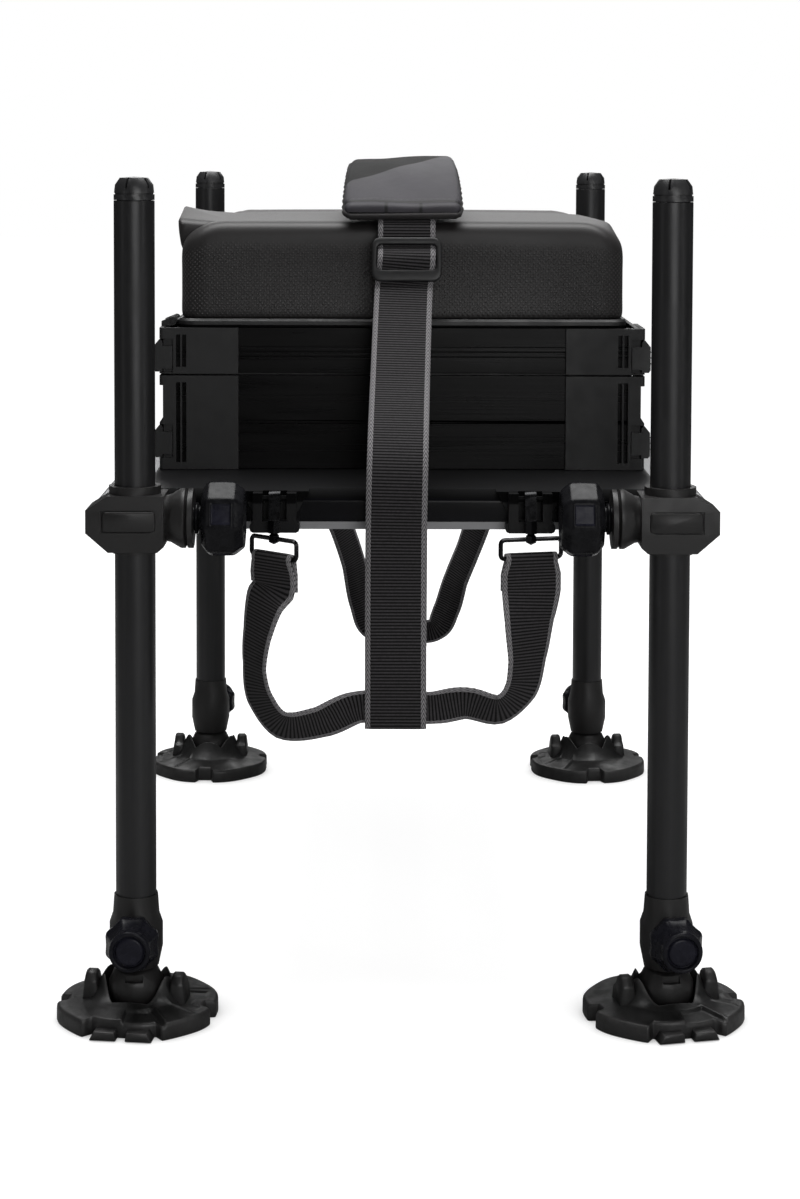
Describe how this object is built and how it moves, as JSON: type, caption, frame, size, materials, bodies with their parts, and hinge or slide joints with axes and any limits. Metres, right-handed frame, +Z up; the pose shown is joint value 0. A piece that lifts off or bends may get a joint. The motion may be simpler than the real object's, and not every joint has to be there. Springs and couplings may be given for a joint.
{
  "type": "fishing seat box",
  "caption": "Padded seat on stacked tray and drawer units, carried by an aluminium frame with sliding clamped legs, swivelling feet and a carrying strap.",
  "frame": {"origin": "on the ground, midway between the four legs", "axes": "+X from the rear of the seat to its drawer front, +Y from its right end to its left end, +Z up"},
  "size_m": [0.4284, 0.696, 0.5334],
  "materials": {
    "leg_tube": "dark grey anodised, satin",
    "casting": "fine-grained dark grey",
    "black_plastic": "fine-grained black",
    "gloss_plastic": "glossy black",
    "moulding": "fine-grained dark grey",
    "wall_sheet": "black satin anodised, ribbed",
    "bare_rail": "bare satin aluminium",
    "vinyl": "dotted black vinyl over foam",
    "webbing": "woven black webbing with grey edge lines",
    "pad_cloth": "grey knitted pad cloth",
    "steel": "black plated steel, glossy"
  },
  "bodies": {
    "frame": {"rear_rail": "bare_rail", "front_rail": "bare_rail", "right_end_rail": "black_plastic", "left_end_rail": "black_plastic", "lower_unit_moulding": "moulding", "lower_unit_walls": "wall_sheet", "upper_unit_moulding": "moulding", "upper_unit_walls": "wall_sheet", "right_rear_leg_clamp": "casting", "right_front_leg_clamp": "casting", "left_rear_leg_clamp": "casting", "left_front_leg_clamp": "casting", "right_rear_snap_hook": "steel", "right_front_snap_hook": "steel", "left_rear_snap_hook": "steel", "left_front_snap_hook": "steel", "hook_strap_right": "webbing", "hook_strap_left": "webbing"},
    "seat": {"seat_board": "black_plastic", "seat_cushion": "vinyl", "shoulder_pad": "pad_cloth", "strap_buckle": "black_plastic", "carry_strap": "webbing"},
    "drawer": {"front_drawer": "wall_sheet"},
    "right_rear_leg": {"right_rear_leg_tube": "leg_tube", "right_rear_leg_cap": "black_plastic", "right_rear_foot_collar": "casting"},
    "right_rear_clamp_knob": {"right_rear_clamp_knob": "gloss_plastic"},
    "right_rear_foot_knob": {"right_rear_foot_knob": "gloss_plastic"},
    "right_rear_ball": {"right_rear_foot_ball": "black_plastic"},
    "right_rear_foot": {"right_rear_foot_plate": "casting"},
    "right_front_leg": {"right_front_leg_tube": "leg_tube", "right_front_leg_cap": "black_plastic", "right_front_foot_collar": "casting"},
    "right_front_clamp_knob": {"right_front_clamp_knob": "gloss_plastic"},
    "right_front_foot_knob": {"right_front_foot_knob": "gloss_plastic"},
    "right_front_ball": {"right_front_foot_ball": "black_plastic"},
    "right_front_foot": {"right_front_foot_plate": "casting"},
    "left_rear_leg": {"left_rear_leg_tube": "leg_tube", "left_rear_leg_cap": "black_plastic", "left_rear_foot_collar": "casting"},
    "left_rear_clamp_knob": {"left_rear_clamp_knob": "gloss_plastic"},
    "left_rear_foot_knob": {"left_rear_foot_knob": "gloss_plastic"},
    "left_rear_ball": {"left_rear_foot_ball": "black_plastic"},
    "left_rear_foot": {"left_rear_foot_plate": "casting"},
    "left_front_leg": {"left_front_leg_tube": "leg_tube", "left_front_leg_cap": "black_plastic", "left_front_foot_collar": "casting"},
    "left_front_clamp_knob": {"left_front_clamp_knob": "gloss_plastic"},
    "left_front_foot_knob": {"left_front_foot_knob": "gloss_plastic"},
    "left_front_ball": {"left_front_foot_ball": "black_plastic"},
    "left_front_foot": {"left_front_foot_plate": "casting"},
    "right_rear_lower_latch": {"right_rear_lower_latch": "black_plastic"},
    "right_rear_upper_latch": {"right_rear_upper_latch": "black_plastic"},
    "right_front_lower_latch": {"right_front_lower_latch": "black_plastic"},
    "right_front_upper_latch": {"right_front_upper_latch": "black_plastic"},
    "left_rear_lower_latch": {"left_rear_lower_latch": "black_plastic"},
    "left_rear_upper_latch": {"left_rear_upper_latch": "black_plastic"},
    "left_front_lower_latch": {"left_front_lower_latch": "black_plastic"},
    "left_front_upper_latch": {"left_front_upper_latch": "black_plastic"}
  },
  "joints": [
    {"name": "seat_hinge", "type": "hinge", "parent": "frame", "child": "seat", "pos_m": [-0.1542, 0, 0.4221], "axis": [0, -1, 0], "range_deg": [0, 75], "deforming": ["carry_strap"]},
    {"name": "drawer_slide", "type": "slide", "parent": "frame", "child": "drawer", "axis": [1, 0, 0], "range_m": [0, 0.22]},
    {"name": "right_rear_leg_slide", "type": "slide", "parent": "frame", "child": "right_rear_leg", "axis": [0, 0, 1], "range_m": [-0.17, 0.19]},
    {"name": "right_rear_clamp_knob_turn", "type": "hinge", "parent": "frame", "child": "right_rear_clamp_knob", "pos_m": [-0.109, -0.3035, 0.311], "axis": [1, 0, 0], "range_deg": [0, 180]},
    {"name": "right_rear_foot_knob_turn", "type": "hinge", "parent": "right_rear_leg", "child": "right_rear_foot_knob", "pos_m": [-0.164, -0.3335, 0.0535], "axis": [0, -1, 0], "range_deg": [0, 180]},
    {"name": "right_rear_foot_tilt_x", "type": "hinge", "parent": "right_rear_leg", "child": "right_rear_ball", "pos_m": [-0.164, -0.3035, 0.0195], "axis": [1, 0, 0], "range_deg": [-15, 15]},
    {"name": "right_rear_foot_tilt_y", "type": "hinge", "parent": "right_rear_ball", "child": "right_rear_foot", "pos_m": [-0.164, -0.3035, 0.0195], "axis": [0, 1, 0], "range_deg": [-15, 15]},
    {"name": "right_front_leg_slide", "type": "slide", "parent": "frame", "child": "right_front_leg", "axis": [0, 0, 1], "range_m": [-0.17, 0.19]},
    {"name": "right_front_clamp_knob_turn", "type": "hinge", "parent": "frame", "child": "right_front_clamp_knob", "pos_m": [0.109, -0.3035, 0.311], "axis": [-1, 0, 0], "range_deg": [0, 180]},
    {"name": "right_front_foot_knob_turn", "type": "hinge", "parent": "right_front_leg", "child": "right_front_foot_knob", "pos_m": [0.16818, -0.33321, 0.0535], "axis": [0.1392, -0.9903, 0], "range_deg": [0, 180]},
    {"name": "right_front_foot_tilt_x", "type": "hinge", "parent": "right_front_leg", "child": "right_front_ball", "pos_m": [0.164, -0.3035, 0.0195], "axis": [1, 0, 0], "range_deg": [-15, 15]},
    {"name": "right_front_foot_tilt_y", "type": "hinge", "parent": "right_front_ball", "child": "right_front_foot", "pos_m": [0.164, -0.3035, 0.0195], "axis": [0, 1, 0], "range_deg": [-15, 15]},
    {"name": "left_rear_leg_slide", "type": "slide", "parent": "frame", "child": "left_rear_leg", "axis": [0, 0, 1], "range_m": [-0.17, 0.19]},
    {"name": "left_rear_clamp_knob_turn", "type": "hinge", "parent": "frame", "child": "left_rear_clamp_knob", "pos_m": [-0.109, 0.3035, 0.311], "axis": [1, 0, 0], "range_deg": [0, 180]},
    {"name": "left_rear_foot_knob_turn", "type": "hinge", "parent": "left_rear_leg", "child": "left_rear_foot_knob", "pos_m": [-0.15982, 0.33321, 0.0535], "axis": [0.1392, 0.9903, 0], "range_deg": [0, 180]},
    {"name": "left_rear_foot_tilt_x", "type": "hinge", "parent": "left_rear_leg", "child": "left_rear_ball", "pos_m": [-0.164, 0.3035, 0.0195], "axis": [1, 0, 0], "range_deg": [-15, 15]},
    {"name": "left_rear_foot_tilt_y", "type": "hinge", "parent": "left_rear_ball", "child": "left_rear_foot", "pos_m": [-0.164, 0.3035, 0.0195], "axis": [0, 1, 0], "range_deg": [-15, 15]},
    {"name": "left_front_leg_slide", "type": "slide", "parent": "frame", "child": "left_front_leg", "axis": [0, 0, 1], "range_m": [-0.17, 0.19]},
    {"name": "left_front_clamp_knob_turn", "type": "hinge", "parent": "frame", "child": "left_front_clamp_knob", "pos_m": [0.109, 0.3035, 0.311], "axis": [-1, 0, 0], "range_deg": [0, 180]},
    {"name": "left_front_foot_knob_turn", "type": "hinge", "parent": "left_front_leg", "child": "left_front_foot_knob", "pos_m": [0.15982, 0.33321, 0.0535], "axis": [-0.1392, 0.9903, 0], "range_deg": [0, 180]},
    {"name": "left_front_foot_tilt_x", "type": "hinge", "parent": "left_front_leg", "child": "left_front_ball", "pos_m": [0.164, 0.3035, 0.0195], "axis": [1, 0, 0], "range_deg": [-15, 15]},
    {"name": "left_front_foot_tilt_y", "type": "hinge", "parent": "left_front_ball", "child": "left_front_foot", "pos_m": [0.164, 0.3035, 0.0195], "axis": [0, 1, 0], "range_deg": [-15, 15]},
    {"name": "right_rear_lower_latch_swing", "type": "hinge", "parent": "frame", "child": "right_rear_lower_latch", "pos_m": [-0.1615, -0.1635, 0.3518], "axis": [0, 1, 0], "range_deg": [0, 80]},
    {"name": "right_rear_upper_latch_swing", "type": "hinge", "parent": "frame", "child": "right_rear_upper_latch", "pos_m": [-0.1615, -0.1635, 0.4089], "axis": [0, 1, 0], "range_deg": [0, 80]},
    {"name": "right_front_lower_latch_swing", "type": "hinge", "parent": "frame", "child": "right_front_lower_latch", "pos_m": [0.1615, -0.1635, 0.3518], "axis": [0, -1, 0], "range_deg": [0, 80]},
    {"name": "right_front_upper_latch_swing", "type": "hinge", "parent": "frame", "child": "right_front_upper_latch", "pos_m": [0.1615, -0.1635, 0.4089], "axis": [0, -1, 0], "range_deg": [0, 80]},
    {"name": "left_rear_lower_latch_swing", "type": "hinge", "parent": "frame", "child": "left_rear_lower_latch", "pos_m": [-0.1615, 0.1635, 0.3518], "axis": [0, 1, 0], "range_deg": [0, 80]},
    {"name": "left_rear_upper_latch_swing", "type": "hinge", "parent": "frame", "child": "left_rear_upper_latch", "pos_m": [-0.1615, 0.1635, 0.4089], "axis": [0, 1, 0], "range_deg": [0, 80]},
    {"name": "left_front_lower_latch_swing", "type": "hinge", "parent": "frame", "child": "left_front_lower_latch", "pos_m": [0.1615, 0.1635, 0.3518], "axis": [0, -1, 0], "range_deg": [0, 80]},
    {"name": "left_front_upper_latch_swing", "type": "hinge", "parent": "frame", "child": "left_front_upper_latch", "pos_m": [0.1615, 0.1635, 0.4089], "axis": [0, -1, 0], "range_deg": [0, 80]}
  ]
}
